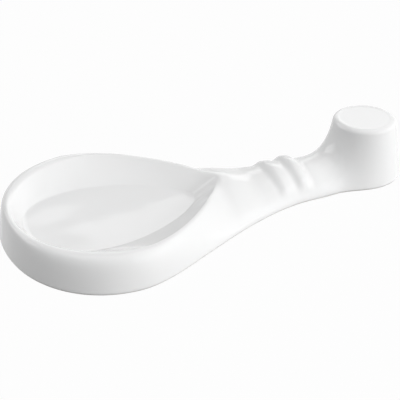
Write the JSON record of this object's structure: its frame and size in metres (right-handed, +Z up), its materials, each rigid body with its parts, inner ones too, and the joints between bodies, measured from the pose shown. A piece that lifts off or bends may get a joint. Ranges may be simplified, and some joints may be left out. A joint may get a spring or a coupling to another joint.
{
  "type": "spoon rest",
  "caption": "White glazed porcelain spoon rest: a teardrop dish with an arched, ridged handle that ends in an upright drum-shaped knob.",
  "frame": {"origin": "on the table surface, in the middle of the object's length and width", "axes": "+X along the object from the bowl to the knob, +Z up, +Y to the left when looking from the bowl to the knob"},
  "size_m": [0.225, 0.116, 0.0328],
  "materials": {
    "white_glaze": "clear gloss glaze over white porcelain",
    "bare_porcelain": "unglazed, ground matt where the piece stood in the kiln"
  },
  "bodies": {
    "root": {"dish": "white_glaze", "handle": "white_glaze", "knob": "white_glaze", "foot_rim": "bare_porcelain"}
  },
  "joints": []
}
